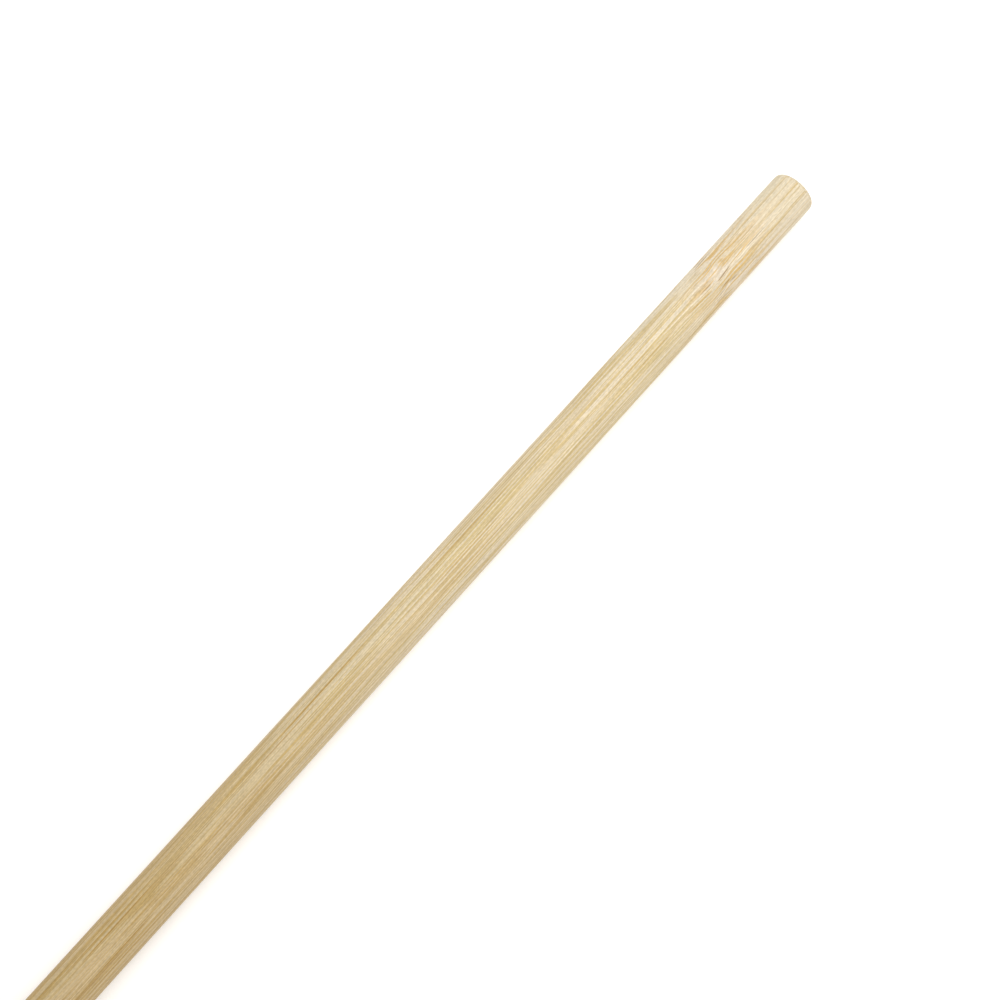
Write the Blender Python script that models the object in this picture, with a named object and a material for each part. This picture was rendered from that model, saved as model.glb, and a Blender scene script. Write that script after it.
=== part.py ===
"""Bamboo cane: a straight-grained round rod, machined from one strip of a culm's wall.

The cane is one solid piece. It lies on the XY plane along X, with its tip end at +X.
The origin is the middle of its box, on the surface that it rests on. Lengths are in metres.
"""

import math

import bmesh
import bpy

# Driving dimensions.
LENGTH = 0.300
DIAMETER = 0.008
EDGE_ROUND = 0.0011  # radius of the sanded edge round each sawn end

# Facets of the solid.
SIDES = 24
EDGE_STEPS = 6

SHARP_ANGLE = math.radians(35)

BAMBOO_COLOUR = (0.74, 0.61, 0.40, 1.0)
BAMBOO_ROUGHNESS = 0.6


def clear_scene():
    for obj in list(bpy.data.objects):
        bpy.data.objects.remove(obj)


def bamboo_material():
    material = bpy.data.materials.new("bamboo")
    material.use_nodes = True
    shader = material.node_tree.nodes["Principled BSDF"]
    shader.inputs["Base Color"].default_value = BAMBOO_COLOUR
    shader.inputs["Roughness"].default_value = BAMBOO_ROUGHNESS
    shader.inputs["Metallic"].default_value = 0.0
    return material


def tip_edge():
    """(x, radius) over the sanded edge at the tip, from the side of the cane to its end face."""
    points = []
    for step in range(EDGE_STEPS + 1):
        angle = math.pi / 2 * step / EDGE_STEPS
        x = LENGTH / 2 - EDGE_ROUND * (1 - math.sin(angle))
        radius = DIAMETER / 2 - EDGE_ROUND * (1 - math.cos(angle))
        points.append((x, radius))
    return points


def cane_profile():
    """(x, radius) from the edge of one end face, along the side and to the edge of the other."""
    butt_edge = [(-x, radius) for x, radius in reversed(tip_edge())]
    return butt_edge + tip_edge()


def turned_rod():
    """The profile spun round the X axis, with its ends closed.

    The middles of the facets are on the true circle, and one facet faces straight down.
    """
    rod = bmesh.new()
    half_facet = math.pi / SIDES
    points = [
        rod.verts.new((x, radius * math.tan(half_facet), -radius))
        for x, radius in cane_profile()
    ]
    line = [rod.edges.new(pair) for pair in zip(points, points[1:])]
    bmesh.ops.spin(
        rod,
        geom=points + line,
        cent=(0, 0, 0),
        axis=(1, 0, 0),
        angle=2 * math.pi,
        steps=SIDES,
        use_merge=True,
    )
    bmesh.ops.holes_fill(rod, edges=rod.edges, sides=SIDES)
    bmesh.ops.recalc_face_normals(rod, faces=rod.faces)
    return rod


def bamboo_cane():
    rod = turned_rod()
    bmesh.ops.translate(rod, vec=(0, 0, DIAMETER / 2), verts=rod.verts)
    mesh = bpy.data.meshes.new("bamboo_cane")
    rod.to_mesh(mesh)
    rod.free()
    mesh.shade_smooth()
    mesh.set_sharp_from_angle(angle=SHARP_ANGLE)
    mesh.materials.append(bamboo_material())
    cane = bpy.data.objects.new("bamboo_cane", mesh)
    bpy.context.scene.collection.objects.link(cane)
    return cane


clear_scene()
bamboo_cane()
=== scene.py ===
import math

import bpy
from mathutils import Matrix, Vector


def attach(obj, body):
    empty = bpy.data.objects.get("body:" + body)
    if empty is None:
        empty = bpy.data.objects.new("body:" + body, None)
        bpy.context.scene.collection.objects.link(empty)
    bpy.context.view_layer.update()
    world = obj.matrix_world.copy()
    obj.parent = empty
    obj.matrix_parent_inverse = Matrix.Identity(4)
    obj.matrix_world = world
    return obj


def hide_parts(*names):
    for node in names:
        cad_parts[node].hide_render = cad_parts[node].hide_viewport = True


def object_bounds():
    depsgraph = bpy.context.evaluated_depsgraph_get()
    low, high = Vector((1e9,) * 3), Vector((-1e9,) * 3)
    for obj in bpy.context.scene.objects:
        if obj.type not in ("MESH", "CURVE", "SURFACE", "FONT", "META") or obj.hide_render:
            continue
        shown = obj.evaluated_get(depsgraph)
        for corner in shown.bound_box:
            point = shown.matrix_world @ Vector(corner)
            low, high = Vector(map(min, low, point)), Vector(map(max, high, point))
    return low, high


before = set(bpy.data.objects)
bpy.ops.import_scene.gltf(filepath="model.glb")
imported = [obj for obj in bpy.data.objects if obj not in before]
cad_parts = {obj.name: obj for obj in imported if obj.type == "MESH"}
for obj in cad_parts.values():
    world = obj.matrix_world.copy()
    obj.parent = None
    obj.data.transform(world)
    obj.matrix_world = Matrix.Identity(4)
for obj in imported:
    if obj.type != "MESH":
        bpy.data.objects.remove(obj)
cad_low, cad_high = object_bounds()


# ---------------------------------------------------------------------------------------------
# The cane. It is one solid strip of a bamboo culm's wall, run through a round cutter and sawn
# square at both ends. Its side is sanded and its sawn edges are tumbled round. It has no skin,
# lacquer or stain on it.

CANE_LENGTH = cad_high.x - cad_low.x
CANE_THICKNESS = cad_high.z - cad_low.z
EDGE_ROUND = 0.0011
CANE_SIDES = 192
CANE_RINGS = 460
FACE_RINGS = 10
EVEN_RINGS = 0.2  # the share of the rings' spacing that doesn't tighten towards the edges
FACE_RING_EASE = 1.6  # above 1, the rings on an end face tighten towards its edge
BUNDLE_RELIEF = 0.000012
JOINT_RELIEF = 0.00005

# The wall is pale soft tissue with long fibre bundles running up the culm. They crowd under the
# skin, and at each joint they part and tangle round a knot. The cane is cut from that wall, so
# one field through its body gives the grain of its side and of its ends.
BUNDLE_SPACING = 0.00052
SKIN_CROWDING = 0.07  # how much closer bundles lie for each millimetre nearer to the skin
JOINTS_FROM_TIP = (0.022, 0.215)
KNOTS_FROM_TIP = (0.0235, 0.2165)
KNOT_TURNS = (math.radians(-3), math.radians(-128))  # from +Z towards +Y, round the cane
STRIP_TURN = math.radians(48.6)  # from +Z to the skin side of the wall, seen from the tip

# The grain is worked out in millimetres. Each pair is how many of a mark come in a millimetre,
# first along the fibres and then across them.
IN_MILLIMETRES = 1000.0
WANDERS = (0.012, 0.15)
WANDER_WIDTH = 1.5
PARTINGS = (0.11, 0.34)
PARTING_WIDTH = 1.35
PARTING_REACH = 6.5
BUNDLES_ALONG = 0.024
DASHES_ALONG = 0.10
STREAKS = (0.022, 3.3)
WIDE_STREAKS = (0.010, 0.8)
WASHES = (0.016, 0.30)
HAIRS = (0.13, 6.5)
FLECKS = (2.0, 4.5)
HONEY_STREAKS = (0.055, 1.9)
KNOT_RAGS = (0.20, 1.3)
TANGLE_OFFSET = 2.0
TANGLE_REACH = 9.0
KNOT_HALF_SIZE = (4.0, 0.95, 0.95)
KNOT_REACH = (5.5, 1.7, 1.7)
KNOT_PUSH = 0.36
KNOT_RAGGEDNESS = 3.0


def feed(tree, socket, value):
    """Links another node's output to a socket, or sets a plain value on it."""
    if isinstance(value, bpy.types.NodeSocket):
        tree.links.new(value, socket)
    else:
        socket.default_value = value


def maths(tree, operation, *values, clamped=False):
    step = tree.nodes.new("ShaderNodeMath")
    step.operation = operation
    step.use_clamp = clamped
    for socket, value in zip(step.inputs, values):
        feed(tree, socket, value)
    return step.outputs[0]


def vector_maths(tree, operation, *values):
    step = tree.nodes.new("ShaderNodeVectorMath")
    step.operation = operation
    for socket, value in zip(step.inputs, values):
        feed(tree, socket, value)
    return step.outputs[0]


def size_of(tree, vector):
    step = tree.nodes.new("ShaderNodeVectorMath")
    step.operation = "LENGTH"
    feed(tree, step.inputs[0], vector)
    return step.outputs["Value"]


def times(tree, vector, amount):
    step = tree.nodes.new("ShaderNodeVectorMath")
    step.operation = "SCALE"
    feed(tree, step.inputs[0], vector)
    feed(tree, step.inputs["Scale"], amount)
    return step.outputs[0]


def split(tree, vector):
    step = tree.nodes.new("ShaderNodeSeparateXYZ")
    feed(tree, step.inputs[0], vector)
    return step.outputs[0], step.outputs[1], step.outputs[2]


def combine(tree, x, y, z):
    step = tree.nodes.new("ShaderNodeCombineXYZ")
    for socket, value in zip(step.inputs, (x, y, z)):
        feed(tree, socket, value)
    return step.outputs[0]


def ramp(tree, value, start, end, low=0.0, high=1.0):
    """An even, soft-ended rise from low to high as the value goes from start to end."""
    step = tree.nodes.new("ShaderNodeMapRange")
    step.interpolation_type = "SMOOTHSTEP"
    for name, number in (
        ("Value", value),
        ("From Min", start),
        ("From Max", end),
        ("To Min", low),
        ("To Max", high),
    ):
        feed(tree, step.inputs[name], number)
    return step.outputs[0]


def bell(tree, away):
    """1 where the distance is 0, falling to nearly 0 where it is 2."""
    squared = maths(tree, "MULTIPLY", away, away)
    return maths(tree, "EXPONENT", maths(tree, "MULTIPLY", squared, -1.0))


def noise(tree, place, detail=1.0, roughness=0.5):
    """Cloudy noise, one blot for each unit of the place: (value, three values in a vector)."""
    step = tree.nodes.new("ShaderNodeTexNoise")
    feed(tree, step.inputs["Vector"], place)
    step.inputs["Scale"].default_value = 1.0
    step.inputs["Detail"].default_value = detail
    step.inputs["Roughness"].default_value = roughness
    return step.outputs[0], step.outputs[1]


def cells(tree, place):
    """One cell for each unit of the place: (distance from its middle, three random values)."""
    step = tree.nodes.new("ShaderNodeTexVoronoi")
    feed(tree, step.inputs["Vector"], place)
    step.inputs["Scale"].default_value = 1.0
    step.inputs["Randomness"].default_value = 0.9
    return step.outputs["Distance"], step.outputs["Color"]


def stretched(tree, wall_place, marks):
    """A place in the wall, scaled so that this many marks fit along and across the fibres."""
    along, across, depth = wall_place
    return combine(
        tree,
        maths(tree, "MULTIPLY", along, marks[0]),
        maths(tree, "MULTIPLY", across, marks[1]),
        maths(tree, "MULTIPLY", depth, marks[1]),
    )


def near_joints(tree, along, joints, reach):
    """1 at a culm joint, falling to nearly 0 at twice the reach from it."""
    bells = [
        bell(tree, maths(tree, "DIVIDE", maths(tree, "SUBTRACT", along, joint), reach))
        for joint in joints
    ]
    return maths(tree, "MAXIMUM", *bells)


def knot_place(joint):
    """The middle of the knot at a joint, measured from the middle of the cane's own axis."""
    turn = KNOT_TURNS[joint]
    radius = CANE_THICKNESS / 2
    return (CANE_LENGTH / 2 - KNOTS_FROM_TIP[joint], radius * math.sin(turn), radius * math.cos(turn))


def part_round_knot(tree, place, knot):
    """Fibres part round a knot: (the place they grew from, distance from the knot's middle)."""
    off = vector_maths(tree, "SUBTRACT", place, knot)
    within = size_of(tree, vector_maths(tree, "DIVIDE", off, KNOT_HALF_SIZE))
    reach = size_of(tree, vector_maths(tree, "DIVIDE", off, KNOT_REACH))
    push = maths(tree, "MULTIPLY", bell(tree, reach), KNOT_PUSH)
    moved = vector_maths(tree, "MULTIPLY", off, combine(tree, 0.0, push, push))
    return vector_maths(tree, "SUBTRACT", place, moved), within


def part_round_knots(tree, place, knots):
    """The same round every knot, with the distance from the nearest one."""
    distances = []
    for knot in knots:
        knot = vector_maths(tree, "MULTIPLY", knot, (IN_MILLIMETRES,) * 3)
        place, within = part_round_knot(tree, place, knot)
        distances.append(within)
    return place, maths(tree, "MINIMUM", *distances)


def turn_to_wall(tree, place, turn):
    """The place in the wall's directions: up the culm, round it, and from its hollow to its skin."""
    along, aside, up = split(tree, place)
    cosine, sine = maths(tree, "COSINE", turn), maths(tree, "SINE", turn)
    across = maths(tree, "ADD", maths(tree, "MULTIPLY", aside, cosine), maths(tree, "MULTIPLY", up, sine))
    depth = maths(tree, "SUBTRACT", maths(tree, "MULTIPLY", up, cosine), maths(tree, "MULTIPLY", aside, sine))
    return along, across, depth


def wander(tree, wall_place, marks, width):
    """A sideways shift that changes slowly along the fibres and never turns them back."""
    drift = noise(tree, stretched(tree, wall_place, marks))[1]
    drift = vector_maths(tree, "SUBTRACT", drift, (0.5, 0.5, 0.5))
    return vector_maths(tree, "MULTIPLY", drift, (0.0, width, width))


def crowd_to_skin(tree, across, depth):
    """Tightens the grain towards the skin, by the same amount across as in depth."""
    growth = maths(tree, "EXPONENT", maths(tree, "MULTIPLY", depth, SKIN_CROWDING))
    across = maths(tree, "MULTIPLY", across, growth)
    depth = maths(tree, "DIVIDE", maths(tree, "SUBTRACT", growth, 1.0), SKIN_CROWDING)
    return across, depth


def new_inputs(tree, kind, labels):
    for label, value in labels:
        socket = tree.interface.new_socket(name=label, in_out="INPUT", socket_type=kind)
        socket.default_value = value


def lay_grain(kind, name):
    """A node group, of shader or geometry nodes, that gives the grain at a place in the cane."""
    tree = bpy.data.node_groups.new(name, kind)
    tree.interface.new_socket(name="Place", in_out="INPUT", socket_type="NodeSocketVector")
    new_inputs(tree, "NodeSocketFloat", (
        ("Length", CANE_LENGTH),
        ("Thickness", CANE_THICKNESS),
        ("Strip Turn", STRIP_TURN),
        ("Bundle Spacing", BUNDLE_SPACING),
        ("Near Joint", CANE_LENGTH / 2 - JOINTS_FROM_TIP[0]),
        ("Far Joint", CANE_LENGTH / 2 - JOINTS_FROM_TIP[1]),
    ))
    new_inputs(tree, "NodeSocketVector", (
        ("Near Knot", knot_place(0)),
        ("Far Knot", knot_place(1)),
    ))
    start = tree.nodes.new("NodeGroupInput")
    end = tree.nodes.new("NodeGroupOutput")

    place = vector_maths(tree, "MULTIPLY", start.outputs["Place"], (IN_MILLIMETRES,) * 3)
    length, thickness, spacing, near_joint, far_joint = (
        maths(tree, "MULTIPLY", start.outputs[label], IN_MILLIMETRES)
        for label in ("Length", "Thickness", "Bundle Spacing", "Near Joint", "Far Joint")
    )
    axis = combine(tree, 0.0, 0.0, maths(tree, "DIVIDE", thickness, 2.0))
    place = vector_maths(tree, "SUBTRACT", place, axis)
    knots = (start.outputs["Near Knot"], start.outputs["Far Knot"])
    place, from_knot = part_round_knots(tree, place, knots)
    along, across, depth = turn_to_wall(tree, place, start.outputs["Strip Turn"])

    # Fibres wander a little all the way up the culm, and part and meet again at a joint.
    at_joint = near_joints(tree, along, (near_joint, far_joint), PARTING_REACH)
    moved = wander(tree, (along, across, depth), WANDERS, WANDER_WIDTH)
    parted = times(tree, wander(tree, (along, across, depth), PARTINGS, PARTING_WIDTH), at_joint)
    shift = split(tree, vector_maths(tree, "ADD", moved, parted))
    across = maths(tree, "ADD", across, shift[1])
    depth = maths(tree, "ADD", depth, shift[2])
    across, depth = crowd_to_skin(tree, across, depth)
    in_wall = (along, across, depth)

    packing = maths(tree, "DIVIDE", 1.0, spacing)
    from_bundle, bundle_tones = cells(tree, stretched(tree, in_wall, (BUNDLES_ALONG, packing)))
    from_dash, dash_tones = cells(tree, stretched(tree, in_wall, (DASHES_ALONG, packing)))
    streaks = noise(tree, stretched(tree, in_wall, STREAKS), detail=3.0, roughness=0.62)[0]
    wide_streaks = noise(tree, stretched(tree, in_wall, WIDE_STREAKS))[0]
    washes = noise(tree, stretched(tree, in_wall, WASHES))[0]
    hairs = noise(tree, stretched(tree, in_wall, HAIRS))[0]
    flecks = noise(tree, stretched(tree, in_wall, FLECKS))[0]

    # Round a joint the ground is paler, with honey streaks and short brown dashes in it.
    tangle_middles = [maths(tree, "ADD", joint, TANGLE_OFFSET) for joint in (near_joint, far_joint)]
    tangle = near_joints(tree, along, tangle_middles, TANGLE_REACH)
    honey = noise(tree, stretched(tree, in_wall, HONEY_STREAKS), detail=2.0)[0]
    dashes = maths(tree, "MULTIPLY", ramp(tree, from_dash, 0.34, 0.16), tangle)
    dashes = maths(tree, "MULTIPLY", dashes, ramp(tree, split(tree, dash_tones)[0], 0.40, 0.65))
    ragged = noise(tree, stretched(tree, in_wall, KNOT_RAGS), detail=2.0)[0]
    ragged = maths(tree, "MULTIPLY", maths(tree, "SUBTRACT", ragged, 0.5), KNOT_RAGGEDNESS)
    knot_edge = maths(tree, "ADD", from_knot, ragged)
    from_end = maths(tree, "SUBTRACT", maths(tree, "DIVIDE", length, 2.0), maths(tree, "ABSOLUTE", along))

    for label, field in (
        ("Streaks", ramp(tree, streaks, 0.42, 0.56)),
        ("Wide Streaks", ramp(tree, wide_streaks, 0.34, 0.66)),
        ("Wash", ramp(tree, washes, 0.34, 0.66)),
        ("Bundles", ramp(tree, from_bundle, 0.33, 0.20)),
        ("Bundle Tone", split(tree, bundle_tones)[0]),
        ("Hairs", hairs),
        ("Flecks", flecks),
        ("Joint", tangle),
        ("Joint Streaks", ramp(tree, honey, 0.50, 0.58)),
        ("Dashes", dashes),
        ("Knot", ramp(tree, knot_edge, 1.2, 0.3)),
        ("End Face", ramp(tree, from_end, 0.30, 0.03)),
        ("Tipward", maths(tree, "DIVIDE", along, length)),
    ):
        tree.interface.new_socket(name=label, in_out="OUTPUT", socket_type="NodeSocketFloat")
        tree.links.new(field, end.inputs[label])
    return tree


def turned_place(tree, blank_place, start):
    """Where a place on the blank, of radius 1 and from -1 to 1 along Z, goes on the turned cane."""
    blank_x, blank_y, blank_z = split(tree, blank_place)
    blank_radius = size_of(tree, combine(tree, blank_x, blank_y, 0.0))
    radius = maths(tree, "DIVIDE", start.outputs["Diameter"], 2.0)
    half = maths(tree, "DIVIDE", start.outputs["Length"], 2.0)
    edge = start.outputs["Edge Round"]
    straight_radius = maths(tree, "SUBTRACT", radius, edge)
    straight_half = maths(tree, "SUBTRACT", half, edge)

    # How far each ring is from the middle of the round edge, measured over the surface: below 0
    # on an end face and above 0 on the side.
    half_edge = maths(tree, "MULTIPLY", edge, math.pi / 4)
    side_run = maths(tree, "ADD", straight_half, half_edge)
    face_run = maths(tree, "ADD", straight_radius, half_edge)
    along = maths(tree, "ABSOLUTE", blank_z)
    eased = maths(tree, "SINE", maths(tree, "MULTIPLY", along, math.pi / 2))
    even = maths(tree, "MULTIPLY", along, EVEN_RINGS)
    eased = maths(tree, "ADD", even, maths(tree, "MULTIPLY", eased, 1 - EVEN_RINGS))
    on_side = maths(tree, "MULTIPLY", side_run, maths(tree, "SUBTRACT", 1.0, eased))
    inward = maths(tree, "SUBTRACT", 1.0, blank_radius, clamped=True)
    on_face = maths(tree, "MULTIPLY", face_run, maths(tree, "POWER", inward, FACE_RING_EASE))
    over = maths(tree, "SUBTRACT", on_side, on_face)

    # Over the round edge the turn goes from 0, facing along the cane, to a quarter, facing out.
    share = maths(tree, "DIVIDE", over, maths(tree, "MULTIPLY", half_edge, 2.0))
    turn = maths(tree, "MULTIPLY", maths(tree, "ADD", share, 0.5, clamped=True), math.pi / 2)
    past_side = maths(tree, "MAXIMUM", maths(tree, "SUBTRACT", over, half_edge), 0.0)
    past_face = maths(tree, "SUBTRACT", maths(tree, "MULTIPLY", over, -1.0), half_edge)
    past_face = maths(tree, "MAXIMUM", past_face, 0.0)
    out = maths(tree, "ADD", straight_radius, maths(tree, "MULTIPLY", edge, maths(tree, "SINE", turn)))
    out = maths(tree, "SUBTRACT", out, past_face)
    up = maths(tree, "ADD", straight_half, maths(tree, "MULTIPLY", edge, maths(tree, "COSINE", turn)))
    up = maths(tree, "MULTIPLY", maths(tree, "SUBTRACT", up, past_side), maths(tree, "SIGN", blank_z))
    spoke = vector_maths(tree, "NORMALIZE", combine(tree, 0.0, blank_x, blank_y))
    return vector_maths(tree, "ADD", times(tree, spoke, out), combine(tree, up, 0.0, radius))


def sanding_depth(tree, place, grain, start):
    """Sanding wears the soft tissue a little below the hard bundles, and the joints unevenly."""
    fields = tree.nodes.new("GeometryNodeGroup")
    fields.node_tree = grain
    tree.links.new(place, fields.inputs["Place"])
    soft = maths(tree, "SUBTRACT", fields.outputs["Bundles"], 1.0)
    soft = maths(tree, "MULTIPLY", soft, start.outputs["Bundle Relief"])
    uneven = maths(tree, "SUBTRACT", fields.outputs["Wash"], 1.0)
    uneven = maths(tree, "MULTIPLY", uneven, fields.outputs["Joint"])
    uneven = maths(tree, "MULTIPLY", uneven, start.outputs["Joint Relief"])
    return maths(tree, "ADD", soft, uneven)


MAP_NAME = "OFBake"
MAP_MARGIN = 0.002
STRIP_WIDTH = 0.46
STRIP_STEP = 0.47
DISC_WIDTH = 0.058
DISC_STEP = 0.08
FIRST_DISC = (0.04, 0.938)


def flat_map(tree, place, blank, start):
    """The cane laid flat: its side in two strips, butt half below tip half, and its ends as discs."""
    cane_x, cane_y, cane_z = split(tree, place)
    by_face = tree.nodes.new("GeometryNodeFieldOnDomain")
    by_face.domain = "FACE"
    tree.links.new(cane_x, by_face.inputs["Value"])
    tip_half = maths(tree, "GREATER_THAN", by_face.outputs["Value"], 0.0)
    on_end = maths(tree, "ADD", blank.outputs["Top"], blank.outputs["Bottom"], clamped=True)

    along = maths(tree, "ADD", maths(tree, "DIVIDE", cane_x, start.outputs["Length"]), 0.5)
    along = maths(tree, "SUBTRACT", along, maths(tree, "MULTIPLY", tip_half, 0.5))
    along = maths(tree, "MULTIPLY", along, 2.0 * (1 - 2 * MAP_MARGIN))
    around = maths(tree, "MULTIPLY", split(tree, blank.outputs["UV Map"])[0], STRIP_WIDTH)
    around = maths(tree, "ADD", around, maths(tree, "MULTIPLY", tip_half, STRIP_STEP))
    on_strip = vector_maths(tree, "ADD", combine(tree, along, around, 0.0), (MAP_MARGIN, MAP_MARGIN, 0.0))

    scale = maths(tree, "DIVIDE", DISC_WIDTH, start.outputs["Diameter"])
    disc = times(tree, combine(tree, cane_y, cane_z, 0.0), scale)
    disc_x = maths(tree, "ADD", maths(tree, "MULTIPLY", tip_half, DISC_STEP), FIRST_DISC[0])
    on_disc = vector_maths(tree, "ADD", disc, combine(tree, disc_x, FIRST_DISC[1], 0.0))
    to_disc = times(tree, vector_maths(tree, "SUBTRACT", on_disc, on_strip), on_end)
    return vector_maths(tree, "ADD", on_strip, to_disc)


def turned_cane_tree(grain, finish):
    """Geometry nodes that turn a plain cylinder into the cane, with its edges, grain and joints."""
    tree = bpy.data.node_groups.new("turned cane", "GeometryNodeTree")
    new_inputs(tree, "NodeSocketFloat", (
        ("Length", CANE_LENGTH),
        ("Diameter", CANE_THICKNESS),
        ("Edge Round", EDGE_ROUND),
        ("Bundle Relief", BUNDLE_RELIEF),
        ("Joint Relief", JOINT_RELIEF),
    ))
    new_inputs(tree, "NodeSocketInt", (
        ("Sides", CANE_SIDES),
        ("Rings", CANE_RINGS),
        ("Face Rings", FACE_RINGS),
    ))
    tree.interface.new_socket(name="Geometry", in_out="OUTPUT", socket_type="NodeSocketGeometry")
    start = tree.nodes.new("NodeGroupInput")
    end = tree.nodes.new("NodeGroupOutput")
    place = tree.nodes.new("GeometryNodeInputPosition").outputs[0]
    outward = tree.nodes.new("GeometryNodeInputNormal").outputs[0]

    blank = tree.nodes.new("GeometryNodeMeshCylinder")
    blank.fill_type = "TRIANGLE_FAN"
    feed(tree, blank.inputs["Vertices"], start.outputs["Sides"])
    feed(tree, blank.inputs["Side Segments"], start.outputs["Rings"])
    feed(tree, blank.inputs["Fill Segments"], start.outputs["Face Rings"])
    feed(tree, blank.inputs["Radius"], 1.0)
    feed(tree, blank.inputs["Depth"], 2.0)

    turned = tree.nodes.new("GeometryNodeSetPosition")
    feed(tree, turned.inputs["Position"], turned_place(tree, place, start))
    sanded = tree.nodes.new("GeometryNodeSetPosition")
    depth = sanding_depth(tree, place, grain, start)
    feed(tree, sanded.inputs["Offset"], times(tree, outward, depth))
    mapped = tree.nodes.new("GeometryNodeStoreNamedAttribute")
    mapped.data_type = "FLOAT2"
    mapped.domain = "CORNER"
    feed(tree, mapped.inputs["Name"], MAP_NAME)
    feed(tree, mapped.inputs["Value"], flat_map(tree, place, blank, start))
    smooth = tree.nodes.new("GeometryNodeSetShadeSmooth")
    whole = tree.nodes.new("GeometryNodeRealizeInstances")
    finished = tree.nodes.new("GeometryNodeSetMaterial")
    feed(tree, finished.inputs["Material"], finish)

    work = blank.outputs["Mesh"]
    for step in (turned, sanded, mapped, smooth, whole, finished):
        tree.links.new(work, step.inputs["Geometry"])
        work = step.outputs["Geometry"]
    tree.links.new(work, end.inputs["Geometry"])
    return tree


def mix(tree, share, first, second, way="MIX"):
    step = tree.nodes.new("ShaderNodeMix")
    step.data_type = "RGBA"
    step.blend_type = way
    for socket, value in ((step.inputs[0], share), (step.inputs[6], first), (step.inputs[7], second)):
        feed(tree, socket, value)
    return step.outputs[2]


def tinted(tree, colour, tint):
    return mix(tree, 1.0, colour, tint, way="MULTIPLY")


def part_of(tree, field, share):
    return maths(tree, "MULTIPLY", field, share)


CREAM_TISSUE = (0.648, 0.571, 0.428, 1.0)
STRAW_TISSUE = (0.522, 0.399, 0.180, 1.0)
GOLD_BUNDLE = (0.455, 0.305, 0.100, 1.0)
HONEY_STREAK = (0.555, 0.355, 0.110, 1.0)
MILKY_KNOT = (0.670, 0.585, 0.480, 1.0)
BROWN_DASH = (0.310, 0.195, 0.085, 1.0)
ROSY_WASH = (1.015, 0.995, 0.990, 1.0)
YELLOW_WASH = (0.995, 0.985, 0.945, 1.0)
SAWN_TINT = (0.93, 0.89, 0.83, 1.0)
# The tint below darkens the butt half: partly the wood's riper colour, partly painted shade.
RIPE_AND_SHADE_TINT = (0.82, 0.73, 0.56, 1.0)


def bare_bamboo(grain):
    """Sanded bamboo with no finish: cream tissue, golden bundles, and pale tangles at the joints."""
    material = bpy.data.materials.new("bare_bamboo")
    material.use_nodes = True
    tree = material.node_tree
    shader = tree.nodes["Principled BSDF"]
    place = tree.nodes.new("ShaderNodeTexCoord").outputs["Object"]
    fields = tree.nodes.new("ShaderNodeGroup")
    fields.node_tree = grain
    tree.links.new(place, fields.inputs["Place"])
    grain_of = fields.outputs
    tipward = grain_of["Tipward"]  # from -0.5 at the butt to 0.5 at the tip

    # Soft tissue, in streaks. The last of the tip is paler and plainer.
    paleness = maths(tree, "ADD",
                     part_of(tree, grain_of["Streaks"], 0.86),
                     part_of(tree, grain_of["Wide Streaks"], 0.14))
    pale_tip = ramp(tree, tipward, 0.43, 0.49, 0.0, 0.45)
    paleness = maths(tree, "ADD", paleness, pale_tip, clamped=True)
    colour = mix(tree, paleness, STRAW_TISSUE, CREAM_TISSUE)
    colour = mix(tree, grain_of["Wash"],
                 tinted(tree, colour, ROSY_WASH),
                 tinted(tree, colour, YELLOW_WASH))

    # The joints, then the bundles, then the sawn ends, where the bundles' pores show.
    colour = mix(tree, part_of(tree, grain_of["Joint"], 0.35), colour, MILKY_KNOT)
    colour = mix(tree, part_of(tree, grain_of["Knot"], 0.6), colour, MILKY_KNOT)
    at_joint = maths(tree, "MULTIPLY", grain_of["Joint"], grain_of["Joint Streaks"])
    colour = mix(tree, part_of(tree, at_joint, 0.85), colour, HONEY_STREAK)
    lines = maths(tree, "MULTIPLY",
                  grain_of["Bundles"],
                  ramp(tree, grain_of["Bundle Tone"], 0.1, 0.9, 0.25, 1.0))
    lines = maths(tree, "MULTIPLY", lines, ramp(tree, tipward, 0.43, 0.48, 1.0, 0.6))
    colour = mix(tree, lines, colour, GOLD_BUNDLE)
    colour = mix(tree, part_of(tree, grain_of["Dashes"], 0.8), colour, BROWN_DASH)
    pores = maths(tree, "MULTIPLY", grain_of["Bundles"], grain_of["End Face"])
    colour = mix(tree, part_of(tree, pores, 0.55), colour, BROWN_DASH)
    colour = mix(tree, grain_of["End Face"], colour, tinted(tree, colour, SAWN_TINT))

    # Fine light and dark all over. The butt half is browner and darker, partly as the wood's own colour and
    # partly as painted shade for the light dimming towards the butt.
    shade = maths(tree, "MULTIPLY",
                  ramp(tree, grain_of["Hairs"], 0.25, 0.75, 0.91, 1.09),
                  ramp(tree, grain_of["Flecks"], 0.25, 0.75, 0.90, 1.10))
    colour = tinted(tree, colour, combine(tree, shade, shade, shade))
    ripeness_and_painted_shade = ramp(tree, tipward, 0.30, -0.06)
    colour = mix(tree, ripeness_and_painted_shade, colour, tinted(tree, colour, RIPE_AND_SHADE_TINT))
    tree.links.new(colour, shader.inputs["Base Color"])

    rough = ramp(tree, grain_of["Bundles"], 0.0, 1.0, 0.62, 0.50)
    tree.links.new(rough, shader.inputs["Roughness"])
    shader.inputs["IOR"].default_value = 1.45
    nap = maths(tree, "ADD",
                part_of(tree, grain_of["Hairs"], 0.6),
                part_of(tree, grain_of["Flecks"], 0.4))
    bump = tree.nodes.new("ShaderNodeBump")
    bump.inputs["Strength"].default_value = 0.5
    bump.inputs["Distance"].default_value = 0.00002
    tree.links.new(nap, bump.inputs["Height"])
    tree.links.new(bump.outputs["Normal"], shader.inputs["Normal"])
    return material


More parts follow.
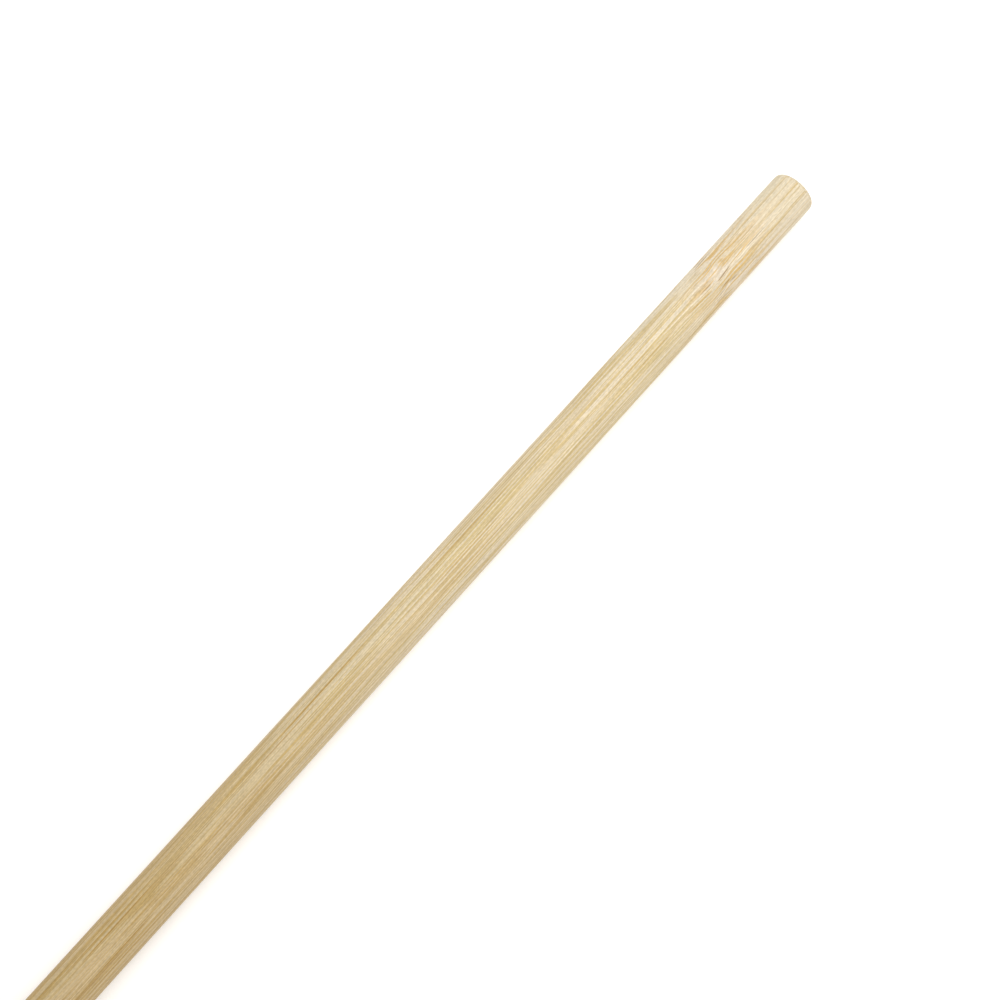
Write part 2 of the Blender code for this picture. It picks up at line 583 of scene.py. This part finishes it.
def made_piece(name, tree, sizes):
    """Runs a geometry tree with these sizes on an empty object, and keeps its result as a mesh."""
    maker = bpy.data.objects.new(name + "_maker", bpy.data.meshes.new(name + "_maker"))
    bpy.context.scene.collection.objects.link(maker)
    modifier = maker.modifiers.new("tree", "NODES")
    modifier.node_group = tree
    for item in tree.interface.items_tree:
        if item.item_type == "SOCKET" and item.in_out == "INPUT" and item.name in sizes:
            modifier[item.identifier] = sizes[item.name]
    bpy.context.view_layer.update()
    evaluated = maker.evaluated_get(bpy.context.evaluated_depsgraph_get())
    mesh = bpy.data.meshes.new_from_object(evaluated)
    mesh.name = name
    maker.modifiers.remove(modifier)
    bpy.data.objects.remove(maker)
    piece = bpy.data.objects.new(name, mesh)
    bpy.context.scene.collection.objects.link(piece)
    return piece


bamboo = bare_bamboo(lay_grain("ShaderNodeTree", "grain colour"))
cane_tree = turned_cane_tree(lay_grain("GeometryNodeTree", "grain relief"), bamboo)
cane = made_piece("turned_cane", cane_tree, {
    "Length": CANE_LENGTH,
    "Diameter": CANE_THICKNESS,
    "Edge Round": EDGE_ROUND,
    "Bundle Relief": BUNDLE_RELIEF,
    "Joint Relief": JOINT_RELIEF,
    "Sides": CANE_SIDES,
    "Rings": CANE_RINGS,
    "Face Rings": FACE_RINGS,
})
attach(cane, "root")
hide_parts("bamboo_cane")


# ---------------------------------------------------------------------------------------------
# The table. It is a white acrylic sheet with a little light coming up through it, so that the
# cane lies on plain white with a soft shadow.

TABLE_RADIUS = 12.0
TABLE_CORNERS = 96
TABLE_WHITE = (0.90, 0.90, 0.90, 1.0)
TABLE_GLOW = 0.22


def white_table():
    turns = [math.tau * corner / TABLE_CORNERS for corner in range(TABLE_CORNERS)]
    rim = [(TABLE_RADIUS * math.cos(turn), TABLE_RADIUS * math.sin(turn), 0.0) for turn in turns]
    mesh = bpy.data.meshes.new("table")
    mesh.from_pydata(rim, [], [tuple(range(TABLE_CORNERS))])
    material = bpy.data.materials.new("white_acrylic")
    material.use_nodes = True
    shader = material.node_tree.nodes["Principled BSDF"]
    shader.inputs["Base Color"].default_value = TABLE_WHITE
    shader.inputs["Roughness"].default_value = 0.7
    shader.inputs["Emission Color"].default_value = (1.0, 1.0, 1.0, 1.0)
    shader.inputs["Emission Strength"].default_value = TABLE_GLOW
    mesh.materials.append(material)
    table = bpy.data.objects.new("table", mesh)
    bpy.context.scene.collection.objects.link(table)
    return table


white_table()


# ---------------------------------------------------------------------------------------------
# The lights. A white tent gives most of the light, and a soft box over the tip gives the rest,
# so that the cane is brightest there.

TENT_COLOUR = (1.0, 0.99, 0.975, 1.0)
TENT_STRENGTH = 0.62


def soft_box(name, place, aim, side, power):
    lamp = bpy.data.lights.new(name, "AREA")
    lamp.shape = "SQUARE"
    lamp.size = side
    lamp.energy = power
    holder = bpy.data.objects.new(name, lamp)
    holder.location = place
    holder.rotation_mode = "QUATERNION"
    holder.rotation_quaternion = (Vector(aim) - Vector(place)).to_track_quat("-Z", "Y")
    bpy.context.scene.collection.objects.link(holder)


soft_box("tip_box", place=(0.14, -0.008, 0.20), aim=(0.13, 0.0, 0.0), side=0.32, power=0.52)

tent = bpy.data.worlds.new("tent")
tent.use_nodes = True
tent.node_tree.nodes["Background"].inputs["Color"].default_value = TENT_COLOUR
tent.node_tree.nodes["Background"].inputs["Strength"].default_value = TENT_STRENGTH
bpy.context.scene.world = tent
bpy.context.scene.view_settings.view_transform = "Standard"


# ---------------------------------------------------------------------------------------------
# The camera. It looks steeply down on the tip half of the cane, from the butt's side of it.

CAMERA_TURN = math.radians(-48.6)
CAMERA_LIFT = math.radians(75.94)
CAMERA_DISTANCE = 0.3265
CAMERA_LENS = 72.0
CAMERA_SENSOR = 36.0
AIM = Vector((cad_high.x - 0.0741, 0.00168, CANE_THICKNESS / 2))

back = Vector((
    math.sin(CAMERA_TURN) * math.cos(CAMERA_LIFT),
    -math.cos(CAMERA_TURN) * math.cos(CAMERA_LIFT),
    math.sin(CAMERA_LIFT),
))
camera = bpy.data.objects.new("camera", bpy.data.cameras.new("camera"))
camera.data.lens = CAMERA_LENS
camera.data.sensor_width = CAMERA_SENSOR
camera.data.clip_start = 0.01
camera.location = AIM + back * CAMERA_DISTANCE
camera.rotation_mode = "QUATERNION"
camera.rotation_quaternion = (-back).to_track_quat("-Z", "Y")
bpy.context.scene.collection.objects.link(camera)
bpy.context.scene.camera = camera
